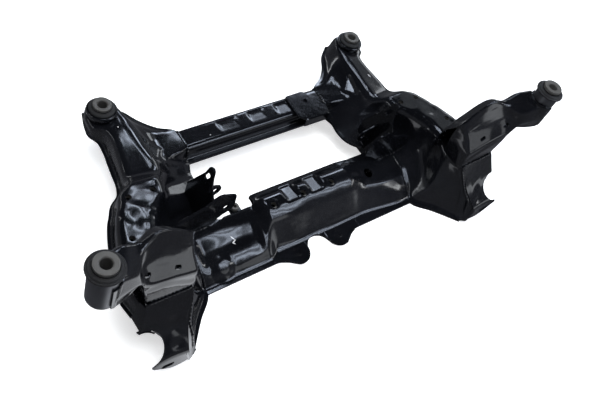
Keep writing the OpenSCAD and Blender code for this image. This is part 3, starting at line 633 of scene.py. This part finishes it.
def near_crossmember():
    """Top: sections along x with a low trough at both ends and a shelf between, averaged across the shelf's
    front fold, with two plane pockets, a ramped recess, waves and dents. The tabs are flat plates with
    rolled edges and coined rings. Pan: one flat-bottomed section along x."""
    xs = np.r_[np.linspace(-NEAR_HALF, -112, 52), np.linspace(-110.5, -92, 14),
               np.linspace(-90, NEAR_HALF, 124)]
    raised = np.where(xs < 0, 1 - smooth(84, 109, -xs), 1 - smooth(115, 235, xs))
    sec = np.array([near_section(x, c) for x, c in zip(xs, raised)])
    g = rounded(sec, [10, 22, 26, 10, 5], arc=10, run=8)
    for _ in range(12):
        w = (smooth(48, 60, g[:, 1:-1, 1]) * (1 - smooth(98, 108, g[:, 1:-1, 1])) * 0.5)[..., None]
        g[:, 1:-1] = (1 - w) * g[:, 1:-1] + w * 0.5 * (g[:, :-2] + g[:, 2:])
    x, y = g[..., 0], g[..., 1]
    for at in (-24, 33):
        w = (1 - smooth(11, 19, np.abs(x - at))) * smooth(74, 84, y) * (1 - smooth(122, 130, y))
        g[..., 2] += w * np.minimum(22 - 0.19 * (y - 78) - g[..., 2], 0)
    g[..., 2] -= 6.5 * smooth(56, 84, y) * np.clip((x - 112) / 38, 0, 1) * (1 - smooth(186, 224, x))
    off = np.abs(x)
    trough = smooth(14, 36, y) * (1 - smooth(104, 118, y))
    trough = trough * smooth(108, 124, off) * (1 - smooth(228, 247, off))
    g[..., 2] += trough * np.where(x < 0, 1.0, 0.6) * ripples(0.45 * x, y, 40, 90, 0.11, 31)
    front = smooth(26, 40, y) * (1 - smooth(70, 86, y)) * (1 - smooth(80, 100, off))
    g[..., 2] += front * ripples(x, y, 60, 130, 0.035, 32)
    g[..., 2] -= trough * (x < 0) * 8.0 * np.exp(-((y - 70) / 22.0) ** 2)
    dent(g, -206, 36, 26, -3.0)
    for s in SHELF_X:
        dent(g, s, SHELF_Y, 13, 0.8)
    tabs, coined = [], []
    ang = np.radians(np.arange(180, 300, 15))
    outline = [(25, 38)] + [(TAB_X + 26 * math.cos(a), TAB_Y + 26 * math.sin(a)) for a in ang]
    outline += [(76, 0), (92, 7), (104, 9), (104, 38)]
    for m in (1, -1):
        pts = [(m * a, b) for a, b in outline]
        tabs.append(plate(pts, SHEET, vec(0, 0, -39.65), (1, 0, 0), (0, 1, 0), round_r=5))
        ring = [(BOLT_R, -0.4), (10.2, -0.4), (8.8, 1.4), (6.6, 1.4)]
        coined.append(lathe(ring, vec(m * TAB_X, TAB_Y, -37.05), 48))
    notch = plate([(-184, 112), (-96, 112), (-96, 180), (-184, 180)], 120, vec(0, 0, -44),
                  (1, 0, 0), (0, 1, 0), round_r=14, bevel=0.01)
    rim, rim_y = [], 112.6
    for s in np.linspace(-170, -106, 12):
        line = g[np.argmin(np.abs(xs - s))]
        rim.append((s, rim_y, line[np.argmin(np.abs(line[:, 1] - rim_y)), 2] + 0.2))
    rim = bead(rim, 1.7, 0.0)
    hems = [bead([(m * a, b, -37.4) for a, b in outline], 1.2, 0.0) for m in (1, -1)]
    scoop = rod((0, 4, -60), (0, 4, -20), 25, 72)
    holes = [rod((m * TAB_X, TAB_Y, -60), (m * TAB_X, TAB_Y, -20), BOLT_R) for m in (1, -1)]
    shelf = [rod((s, SHELF_Y, -5), (s, SHELF_Y, 60), BOLT_R) for s in SHELF_X]
    access = rod((168, 88, -20), (168, 88, 60), 10)
    top = cut(shell_mesh(g, SHEET), notch, scoop, *shelf, access)
    tabs = [cut(t, h) for t, h in zip(tabs, holes)]
    ob = add("near_top", *merge(top, *tabs, *coined, rim, *hems), PAINT, "black_paint")
    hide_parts("near_crossmember_upper")
    line = ((8, -39.9), (18, -39.9), (40, UNDERSIDE), (72, UNDERSIDE), (110, UNDERSIDE), (120, 3.1),
            (136, 3.1))
    pan = np.array([[[x, y, z] for y, z in line] for x in np.linspace(-NEAR_HALF, NEAR_HALF, 25)])
    base = cut(shell_mesh(rounded(pan, [3, 8, 8, 8, 5], arc=5, run=3), SHEET), notch, scoop)
    low = [plate([(m * a, b) for a, b in outline], SHEET, vec(0, 0, -42.55), (1, 0, 0), (0, 1, 0), round_r=5)
           for m in (1, -1)]
    ob = add("near_pan", *merge(base, *[cut(t, h) for t, h in zip(low, holes)]), PAINT, "black_paint")
    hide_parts("near_crossmember_lower")


def far_crossmember():
    """One box section along x, with a rib along the near wall and three tilted dimples on top, an open pan
    below, and the folded hanger at the right end."""
    xs = np.linspace(-FAR_HALF, FAR_HALF, 100)
    line = ((243, 10), (253, 10), (256, 33), (261, 38), (299, 38), (303, 34), (305, 10), (313, 10))
    sec = np.array([[[x, y, z] for y, z in line] for x in xs])
    g = rounded(sec, [3, 5, 6, 7, 5, 3], arc=6, run=6)
    x, y, z = g[..., 0], g[..., 1], g[..., 2]
    wall = (y > 250) & (y < 259)
    g[..., 1] -= np.where(wall, 1.6 * np.exp(-((z - 22) / 3.2) ** 2) * (1 - smooth(140, 155, np.abs(x))), 0)
    flat = smooth(264, 270, y) * (1 - smooth(290, 297, y))
    for c, w in ((-60, 26), (8, 22), (70, 20)):
        g[..., 2] -= flat * (1.1 + 0.075 * (y - 280)) * (1 - smooth(w - 7, w, np.abs(x - c)))
    ob = add("far_top", *shell_mesh(g, SHEET), PAINT, "black_paint")
    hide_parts("far_crossmember_upper")
    line = ((243, 7.1), (256, 7.1), (279, UNDERSIDE), (297, UNDERSIDE), (302, 7.1), (313, 7.1))
    sec = np.array([[[x, y, z] for y, z in line] for x in np.linspace(-FAR_HALF, FAR_HALF, 12)])
    ob = add("far_pan", *shell_mesh(rounded(sec, [4, 7, 7, 4], arc=5, run=3), SHEET), PAINT, "black_paint")
    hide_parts("far_crossmember_lower")
    top = plate([(86, 301), (131, 302), (160, 251), (157, 233), (96, 233), (84, 247)], BRACKET,
                vec(0, 0, 38.3), (1, 0, 0), (0, 1, 0), holes=[(122, 277, BOLT_R)], round_r=6)
    lip = plate([(96, 20.5), (157, 20.5), (157, 40.5), (96, 40.5)], BRACKET, vec(0, 235, 0), (1, 0, 0),
                (0, 0, 1), round_r=4)
    edge = bead([(97, 232.8, 40.2), (156, 232.8, 40.2)], 1.9, 0.0)
    ob = add("far_hanger", *merge(top, lip, edge), PAINT, "black_paint")
    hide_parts("far_crossmember_bracket")


# Towers and saddles
# Sections of the right tower from its foot on the pad to the bush, front foot over the ridge to rear foot
TOWER = np.array([
    row(T, (-168, 38, 86), (-173, 40, 112), (-174, 41, 132), (-173, 41, 155), (-180, 60, 127),
        (-182, 62, 70)),
    row(T, (-158, -9, 73), (-157, -8, 116), (-155, 12, 140), (-163, 38, 166), (-166, 60, 145),
        (-170, 62, 70)),
    row(T, (-118, -9, 73), (-118, -10, 131), (-118, 12, 156), (-140, 39, 185), (-140, 60, 163),
        (-140, 64, 70)),
    row(T, (-78, -8, 75), (-64, -12, 152), (-64, 9, 177), (-98, 37, 205), (-95, 54, 194), (-80, 62, 70)),
    row(T, (-56, -6, 158), (-50, -15, 172), (-52, -5, 192), (-72, 34, 200), (-70, 44, 190), (-62, 40, 135)),
    row(T, (-28, -18, 161), (-24, -22, 182), (-26, -12, 209), (-42, 33, 213), (-40, 40, 204), (-36, 32, 158)),
    row(T, (-6, -25, 163), (-6, -26, 186), (-6, -18, 214), (-12, 29, 215), (-10, 32, 207), (-6, 28, 163)),
])
CAN_CUT = rod((T[0], T[1], 120), (T[0], T[1], 300), TOWER_SEAT_R, 72)


def towers():
    """Front and rear panels: the sections of TOWER with rounded folds, carried along by a Hermite curve, with
    a wavy step across the front panel. Ruled sheets line the slots and close the underside, and a half-round
    collar wraps the bush."""
    g = along(rounded(TOWER, [6, 6, 4, 7], arc=8, run=16), per=12)
    x, y, z = g[..., 0].copy(), g[..., 1].copy(), g[..., 2].copy()
    panel = (1 - smooth(14, 44, y)) * smooth(304, 320, x) * (1 - smooth(398, 412, x))
    line = 112 + 0.42 * (x - 345)
    g[..., 1] += panel * (2.6 * smooth(-7, 7, z - line - 5 * np.sin((x - 338) / 17.0)) - 1.0)
    slot_w = 5.5
    tools = [slot_rod((T[0] - 129, 4, 138.5), (T[0] - 122, 4, 142), slot_w, (0, 22, 0)),
             slot_rod((T[0] - 75, 0, 158.5), (T[0] - 68, 0, 162), slot_w, (0, 22, 0)), CAN_CUT]
    liner = along(np.array([
        row(T, (-152, -5, 112), (-151, 6.5, 123), (-150, 18, 134)),
        row(T, (-118, -6, 128), (-118, 7, 139.5), (-118, 20, 151)),
        row(T, (-82, -7, 142), (-82, 5.5, 154), (-82, 18, 165.5)),
        row(T, (-62, -8, 150), (-60, 4.5, 161), (-60, 16.5, 172))]), per=6)
    turn = np.radians(np.linspace(92, 268, 40))[:, None]
    tall = np.linspace(0, 1, 9)[None]
    wide = 26.2 + 0.5 * (1 - tall)
    wrap = np.stack([T[0] + wide * np.cos(turn), wide * np.sin(turn), 165 + 49 * tall + 0 * turn], 2)
    under = along(np.array([[t[0], 0.5 * (t[0] + t[-1]), t[-1]] for t in TOWER[3:]]), per=10)
    under = cut(shell_mesh(under, SHEET), CAN_CUT)
    panels = cut(shell_mesh(g, SHEET), *tools)
    both_sides("tower", merge(panels, shell_mesh(liner, 2.0), shell_mesh(wrap, SHEET), under),
               ["tower_front", "tower_rear"])
    arc = np.radians(np.linspace(115, 245, 40))
    weld_r = 25.0
    ring = [bead(np.stack([T[0] + weld_r * np.cos(arc), weld_r * np.sin(arc), z + k * np.sin(arc)], 1),
                 2.0, 0.3, seed=s) for z, k, s in ((216.0, -1.0, 3), (165.0, 0.5, 4))]
    base = bead(row(T, (-182, 63, 87), (-170, 63.5, 87), (-140, 65, 87), (-80, 63, 87), (-71, 61, 86)),
                2.4, 0.35, seed=5)
    both_sides("tower_welds", merge(base, *ring), [])


def saddles():
    """Saddle plate: three sections along x with rounded folds, waved on the shelf and cut by a leaning
    cylinder whose lip is an arc carried down its axis. Ruled fillers close the seams to tower and side
    member."""
    web = -12.9
    st = np.array([
        row(T, (-72, web, 84), (-57, -36, 37), (-59, -77, 4), (-62, -81, -4)),
        row(T, (-102, web, 82), (-94, -42, 31), (-93, -77, 3), (-100, -82, -31)),
        row(T, (-156, web, 78), (-137, -46, 25), (-126, -79, -2), (-138, -80, -36))])
    g = along(rounded(st, [20, 7], arc=10, run=9), per=30)
    x, y = g[..., 0], g[..., 1]
    bent = smooth(338, 352, x) * (1 - smooth(366, 384, x)) * smooth(-74, -62, y) * (1 - smooth(-38, -28, y))
    g[..., 2] += bent * ripples(x, y, 18, 40, 0.14, 41)
    at, lean, saddle_r = T + vec(-58, -54, 20), math.radians(39), 32
    a = vec(0, -math.sin(lean), math.cos(lean))
    mesh = cut(shell_mesh(g, BRACKET), rod(at - 70 * a, at + 70 * a, saddle_r, 96),
               slot_rod((T[0] - 97, -85, -18), (T[0] - 81, -85, -14), 8, (0, 25, 0)))
    phi = np.radians(np.linspace(86, 138, 14))
    across = vec(0, math.cos(lean), math.sin(lean))
    arc = at + 30.6 * (np.cos(phi)[:, None] * vec(1, 0, 0) + np.sin(phi)[:, None] * across)
    deep = (10.5 - 5.5 * np.linspace(0, 1, 14) ** 2)[:, None]
    lip = np.stack([arc + t * deep * -a + 1.2 * a for t in np.linspace(0, 1, 5)], 1)
    both_sides("saddle_plate", merge(mesh, shell_mesh(lip, 2.8)), ["saddle"])
    top = bead(row(T, (-74, web + 1.5, 84), (-102, web + 1.5, 82.2), (-154, web + 1.5, 78.5)), 1.8, 0.3,
               seed=7)
    side = bead(row(T, (-155, -14, 72), (-141, -43, 24), (-139, -62, 12), (-141, -72, -20)), 2.3, 0.35,
                seed=8)
    joint = np.array([row(T, (-160, -1, 74), (-146, -39, 20), (-150, -60, -33), (-150, -72, -37)),
                      row(T, (-151, web - 2, 76), (-131, -48, 23), (-121, -80.5, -4), (-131, -82.5, -38))])
    filler = shell_mesh(along(rounded(joint, [12, 9], arc=7, run=6), per=8), SHEET)
    cheek = np.array([row(T, (-66, -3, 86), (-58, -5, 58), (-55, -6, 48)),
                      row(T, (-71, web - 1, 82), (-63, -26, 56), (-58, -31, 40))])
    cheek = shell_mesh(along(rounded(cheek, [9], arc=6, run=5), per=8), SHEET)
    both_sides("saddle_welds", merge(top, side, filler, cheek), [])


# Brackets, nuts and bushes
def link_brackets():
    """Flat plates: the near ear with a rolled sloping edge, the small far eye, and the web between them with
    a slotted tab. Ears are drawn as (x from the bolt, z), the web as (y, z)."""
    bolt_x, bolt_z, near_y, far_y, web_x = 176, 54, 112, 150, 207
    near = [(-20, 54), (-17, 84), (4, 95), (20, 97), (31, 90), (42, 77), (74, 65), (106, 48), (106, 22),
            (70, 6), (30, 8), (0, 34), (-7.6, 35.5), (-14, 40), (-18.5, 46.3)]
    far = [(-14, 50), (-14, 58), (-9, 65.5), (0, 69), (33, 78), (33, 6), (26, 8), (0, 39), (-9, 42.5)]
    tab = [(109, -20), (184, -20), (184, 52), (172, 76), (148, 126), (141, 150), (132, 156), (126, 151),
           (125, 134), (121, 112), (112, 97), (109, 92)]
    ears = [plate(line, BRACKET, vec(bolt_x, y, 0), (1, 0, 0), (0, 0, 1), holes=[(0, bolt_z, LINK_R)],
                  round_r=r, bevel=1.0)
            for line, y, r in ((near, near_y, 7), (far, far_y, 4))]
    web = plate(tab, BRACKET, vec(web_x, 0, 0), (0, 1, 0), (0, 0, 1), round_r=5, bevel=1.0)
    web = cut(web, slot_rod((web_x + 2, 137, 132), (web_x + 2, 143, 117), 8, (12, 0, 0)))
    edge = ((182, 94), (196, 95.5), (207, 89), (218, 76.5), (250, 64.5), (281, 48))
    hem = bead([(x, near_y - 2, z) for x, z in edge], 2.9, 0)
    # The ears, web and hem take the painted-shade copy of the paint, darker than the gloss paint around them.
    both_sides("link_ears", merge(*ears, web, hem), ["link_bracket"], SHADED_BRACKET_PAINT, "black_paint")
    foot = bead([(206, 107, 12), (250, 107, 12), (270, 107, 20), (281, 107, 27)], 2.4, 0.4, seed=9)
    both_sides("link_welds", foot, [])


def nut_mesh(x, y, top, bore=BOLT_R, h=8.0, across=17.0):
    """Hexagon weld nut: a chamfered ring whose outer points are drawn in to the flats of a hexagon."""
    r = across / 2
    outline = [(bore, 0), (bore, -h), (r - 1.0, -h), (r, -h + 1.4), (r, -0.4), (r - 0.4, 0)]
    v, faces = lathe(outline, vec(x, y, top), sides=36)
    d = v[:, :2] - [x, y]
    ang, rad = np.arctan2(d[:, 1], d[:, 0]), np.hypot(d[:, 0], d[:, 1])
    flat = r * math.cos(math.pi / 6) / np.cos((ang + math.pi / 6) % (math.pi / 3) - math.pi / 6)
    lim = np.where(rad > bore + 0.6, np.minimum(rad, flat), rad)
    v[:, :2] = [x, y] + d * (lim / rad)[:, None]
    return v, faces


def nuts():
    """Weld nuts under the shelf and the pads, and the flat tab with its nut in the notch."""
    shelf = merge(*[nut_mesh(x, SHELF_Y, 20.1) for x in SHELF_X])
    ob = add("shelf_weld_nuts", *shelf, SLEEVE, "sleeve_metal")
    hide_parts("shelf_nuts")
    pads = merge(*[nut_mesh(s * x, y, 83.1) for s in (-1, 1) for x, y in PAD_HOLES])
    ob = add("pad_weld_nuts", *pads, SLEEVE, "sleeve_metal")
    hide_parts("pad_nuts")
    clip_x, clip_y, clip_r = -138, 112.3, 3.5
    tab = plate([(-12, 0), (12, 0), (12, 18), (-12, 18)], SHEET, vec(clip_x, clip_y, 6), (1, 0, 0), (0, 1, 0),
                holes=[(0, 10, clip_r)], round_r=5)
    ob = add("harness_clip", *tab, PAINT, "black_paint")
    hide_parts("harness_tab")
    ob = add("harness_weld_nut", *nut_mesh(clip_x, clip_y + 10, 16.9, clip_r), SLEEVE, "sleeve_metal")
    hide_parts("harness_nut")


def turned(outline, r=0.8, arc=4):
    """A closed lathe outline with every corner rounded."""
    p = np.array([(a, 0.0, b) for a, b in outline], float)
    q = rounded(np.concatenate([p[-1:], p, p[:1]])[None], [r] * len(p), arc=arc, run=1)[0][1:-1]
    return q[:, [0, 2]]


def bush(name, at, can, rubber, sleeve, mat, slot):
    """Can, rubber and sleeve of a bush, each an outline of (radius, height) with rounded corners turned about
    the bush's axis."""
    sides = 96
    both_sides(name + "_bush_can", lathe(turned(can, 0.9), at, sides), [name + "_can"], mat, slot)
    both_sides(name + "_bush_rubber", lathe(turned(rubber, 0.7, 5), at, sides), [name + "_rubber"], RUBBER,
               "rubber")
    both_sides(name + "_bush_sleeve", lathe(turned(sleeve, 0.7), at, sides), [name + "_sleeve"], SLEEVE,
               "sleeve_metal")


def sleeve_outline(low, top, flange, seat):
    """Tube with a wide flange whose upper face is the seat."""
    bore, tube = 8.5, 13.5
    return [(bore, low), (tube, low), (tube, top + 7), (flange, top + 8), (flange, seat), (10.2, seat),
            (bore, seat - 1.8)]


def bushes():
    """The tower bushes with plain cans, and the far bushes with a rolled rim on theirs."""
    r, low, top, rim, flange = 23.0, 162.0, 236.0, 27.5, 18.0
    can = [(r, low), (r, top), (r - 2.5, top), (r - 2.5, low)]
    rubber = [(13.5, low + 4), (r - 2.5, low + 4), (r - 2.5, top + 0.2), (rim, top + 0.2), (rim, top + 2.4),
              (rim - 1.6, top + 3.6), (rim - 2.4, top + 3.4), (rim - 3.0, top + 4.4), (rim - 4.6, top + 6.2),
              (rim - 5.4, top + 6.0), (flange + 1.6, top + 7.2), (flange + 0.2, top + 6.2), (13.5, top + 6.2)]
    bush("tower", T, can, rubber, sleeve_outline(low, top, flange, 250.0), CAN, "can_metal")
    r, low, top, rim, flange = 25.0, 22.0, 84.0, 23.0, 16.5
    can = [(r, low), (r, top - 6.5), (r + 2.2, top - 5.5), (r + 2.4, top - 0.6), (r + 0.6, top + 1.4),
           (r - 1.4, top + 1.0), (r - 2.5, top - 1.0), (r - 2.5, low)]
    rubber = [(13.5, low + 4), (r - 2.5, low + 4), (r - 2.5, top + 0.4), (rim + 0.6, top + 1.0),
              (rim + 0.6, top + 4.2), (rim - 1.8, top + 5.8), (flange + 1.2, top + 7.0),
              (flange + 0.2, top + 6.4), (13.5, top + 6.4)]
    bush("far", A, can, rubber, sleeve_outline(low, top, flange, 97.0), PAINT, "black_paint")


def seam_welds():
    """Weld beads over the end sections of both crossmembers."""
    seam = rounded(np.array([JOINT]), [6, 9, 12, 9, 5], arc=6, run=4)[0] + vec(0, 0, 0.3)
    far = [(165, y, z) for y, z in ((254, 12), (256, 33), (261, 38.5), (299, 38.5), (303, 34), (305, 12))]
    both_sides("seam_welds", merge(bead(seam[8:], 2.2, 0.3, seed=11), bead(far, 2.2, 0.3, seed=12)), [])


side_members()
near_crossmember()
far_crossmember()
towers()
saddles()
link_brackets()
nuts()
bushes()
seam_welds()


# Floor, light and camera
def floor_plane():
    """White floor that also glows to the camera, so that shadows stay pale. Gloss reflections see a grey
    floor with one bright patch at the near left."""
    me = bpy.data.meshes.new("floor")
    s = 30.0
    me.from_pydata([(-s, -s, 0), (s, -s, 0), (s, s, 0), (-s, s, 0)], [], [(0, 1, 2, 3)])
    m = bpy.data.materials.new("white_floor")
    m.use_nodes = True
    t = m.node_tree
    t.nodes.clear()
    out = t.nodes.new("ShaderNodeOutputMaterial")
    path = t.nodes.new("ShaderNodeLightPath")
    diff = node(t, "ShaderNodeBsdfDiffuse", Color=(0.86, 0.86, 0.86, 1))
    glow = node(t, "ShaderNodeEmission", Color=(1, 1, 1, 1))
    level = t.nodes.new("ShaderNodeMath")
    level.operation = "MULTIPLY"
    level.inputs[1].default_value = 0.6
    both = t.nodes.new("ShaderNodeAddShader")
    t.links.new(path.outputs["Is Camera Ray"], level.inputs[0])
    t.links.new(level.outputs[0], glow.inputs["Strength"])
    t.links.new(diff.outputs[0], both.inputs[0])
    t.links.new(glow.outputs[0], both.inputs[1])
    where = t.nodes.new("ShaderNodeTexCoord")
    split = t.nodes.new("ShaderNodeSeparateXYZ")
    t.links.new(where.outputs["Object"], split.inputs[0])
    lit = spread(t, split.outputs["X"], -0.50, -0.44, 0.0, 1.0)
    for axis, a, b, lo, hi in (("X", -0.14, 0.0, 1.0, 0.0), ("Y", -0.47, -0.41, 0.0, 1.0),
                               ("Y", -0.225, -0.2, 1.0, 0.0)):
        part_of = t.nodes.new("ShaderNodeMath")
        part_of.operation = "MULTIPLY"
        t.links.new(lit, part_of.inputs[0])
        t.links.new(spread(t, split.outputs[axis], a, b, lo, hi), part_of.inputs[1])
        lit = part_of.outputs[0]
    mirrored_floor = t.nodes.new("ShaderNodeEmission")
    t.links.new(mix(t, lit, (0.14, 0.145, 0.163), (1.3, 1.34, 1.42)), mirrored_floor.inputs["Color"])
    choose = t.nodes.new("ShaderNodeMixShader")
    t.links.new(path.outputs["Is Glossy Ray"], choose.inputs[0])
    t.links.new(both.outputs[0], choose.inputs[1])
    t.links.new(mirrored_floor.outputs[0], choose.inputs[2])
    t.links.new(choose.outputs[0], out.inputs["Surface"])
    me.materials.append(m)
    ob = bpy.data.objects.new("floor", me)
    bpy.context.scene.collection.objects.link(ob)


def world():
    """White to the camera. To every other ray, a studio that is dark above and pale at the horizon."""
    w = bpy.data.worlds.new("studio")
    bpy.context.scene.world = w
    w.use_nodes = True
    t = w.node_tree
    t.nodes.clear()
    out = t.nodes.new("ShaderNodeOutputWorld")
    path = t.nodes.new("ShaderNodeLightPath")
    geo = t.nodes.new("ShaderNodeTexCoord")
    sep = t.nodes.new("ShaderNodeSeparateXYZ")
    t.links.new(geo.outputs["Generated"], sep.inputs[0])
    ramp = t.nodes.new("ShaderNodeValToRGB")
    e = ramp.color_ramp.elements
    e[0].position, e[0].color = 0.0, (0.15, 0.157, 0.175, 1)
    e[1].position, e[1].color = 1.0, (0.014, 0.015, 0.018, 1)
    for pos, col in ((0.22, (0.17, 0.178, 0.205, 1)), (0.45, (0.07, 0.074, 0.09, 1)),
                     (0.62, (0.018, 0.0195, 0.024, 1))):
        n = e.new(pos)
        n.color = col
    t.links.new(sep.outputs["Z"], ramp.inputs["Fac"])
    studio = t.nodes.new("ShaderNodeBackground")
    t.links.new(ramp.outputs["Color"], studio.inputs["Color"])
    white = node(t, "ShaderNodeBackground", Color=(1, 1, 1, 1), Strength=1.0)
    choose = t.nodes.new("ShaderNodeMixShader")
    t.links.new(path.outputs["Is Camera Ray"], choose.inputs[0])
    t.links.new(studio.outputs[0], choose.inputs[1])
    t.links.new(white.outputs[0], choose.inputs[2])
    t.links.new(choose.outputs[0], out.inputs["Surface"])


def area(name, at, to, size, power, color=(1, 1, 1), mirror=True):
    """Rectangular lamp; mirror says whether the gloss paint reflects its shape."""
    d = bpy.data.lights.new(name, "AREA")
    d.shape = "RECTANGLE"
    d.size, d.size_y = size
    d.energy, d.color = power, color
    ob = bpy.data.objects.new(name, d)
    z = unit(vec(*at) - vec(*to))
    x = unit(np.cross(vec(0.02, 0.03, 1.0), z))
    y = np.cross(z, x)
    m = np.eye(4)
    m[:3, 0], m[:3, 1], m[:3, 2], m[:3, 3] = x, y, z, at
    ob.matrix_world = Matrix(m.tolist())
    ob.visible_glossy = mirror
    bpy.context.scene.collection.objects.link(ob)


def window(name, way, far, size, glow, bright, panes=3):
    """A soft panel of radiance glow with narrow upright panes of radiance bright in front of it."""
    at = unit(way) * far
    cool, target = (0.79, 0.89, 1.07), (0, 0, 0.08)
    area(name + "_glow", at, target, size, glow * math.pi * size[0] * size[1], cool)
    side = unit(np.cross(vec(0, 0, 1), way))
    wide, tall = size[0] / (2.6 * panes), 0.8 * size[1]
    for k in range(panes):
        spot = at * 0.985 + side * size[0] * ((k + 0.5) / panes - 0.5)
        area("%s_pane_%d" % (name, k), spot, target, (wide, tall), bright * math.pi * wide * tall, cool)


def camera():
    """The photograph's viewpoint: azimuth -56, elevation 51.3, rolled 27 degrees."""
    az, el, roll = math.radians(-56.0), math.radians(51.3), math.radians(27.0)
    back = vec(math.sin(az) * math.cos(el), -math.cos(az) * math.cos(el), math.sin(el))
    right = vec(math.cos(az), math.sin(az), 0)
    up = np.cross(back, right)
    c, s = math.cos(roll), math.sin(roll)
    m = np.eye(4)
    m[:3, 0], m[:3, 1], m[:3, 2] = c * right + s * up, -s * right + c * up, back
    m[:3, 3] = part(vec(-728, -389, 1071))
    focal_px, width_px, sensor = 716.6, 589, 36.0
    d = bpy.data.cameras.new("camera")
    d.sensor_fit, d.sensor_width = "HORIZONTAL", sensor
    d.lens = focal_px / width_px * sensor
    d.clip_start, d.clip_end = 0.01, 100
    ob = bpy.data.objects.new("camera", d)
    ob.matrix_world = Matrix(m.tolist())
    bpy.context.scene.collection.objects.link(ob)
    bpy.context.scene.camera = ob


floor_plane()
world()
area("overhead", (-0.2, -0.2, 2.6), (0, 0, 0), (2.2, 2.0), 95, (0.97, 0.985, 1.0), mirror=False)
window("high", vec(0.22, 0.36, 0.905), 2.4, (0.72, 0.72), 0.8, 9.0)
window("near", vec(0.46, -0.55, 0.70), 2.4, (1.0, 1.25), 0.9, 6.5, 4)
window("far", vec(0.55, 0.59, 0.588), 2.6, (0.9, 0.42), 3.0, 6.0, 2)
area("low_near", (1.62, -1.84, 0.28), (0, 0, 0.2), (1.2, 0.46), 2.5, (0.92, 0.96, 1.0))
area("side_near", (0.98, -2.12, 1.02), (0.37, -0.155, 0.22), (0.4, 0.36), 0.5, (0.92, 0.96, 1.0))
area("recess", (2.2, 0.95, 1.0), (0.13, -0.06, 0.06), (0.8, 0.5), 3.6, (0.9, 0.95, 1.0))
area("ceiling", (2.35, 1.05, 1.95), (0.3, 0, 0.1), (0.9, 0.8), 0.8, (0.85, 0.92, 1.0))
area("left_strip", (-2.2, 0.7, 1.1), (0, 0, 0.1), (1.4, 0.12), 3.0, (0.92, 0.96, 1.0))
area("back_strip", (-0.6, 2.4, 0.9), (0, 0, 0.1), (1.6, 0.12), 4.0, (0.94, 0.97, 1.0))
area("right_strip", (2.1, -1.2, 1.2), (0, 0, 0.1), (1.4, 0.12), 4.0, (0.96, 0.98, 1.0))
camera()
bpy.context.scene.view_settings.view_transform = "Standard"
bpy.context.scene.view_settings.look = "None"
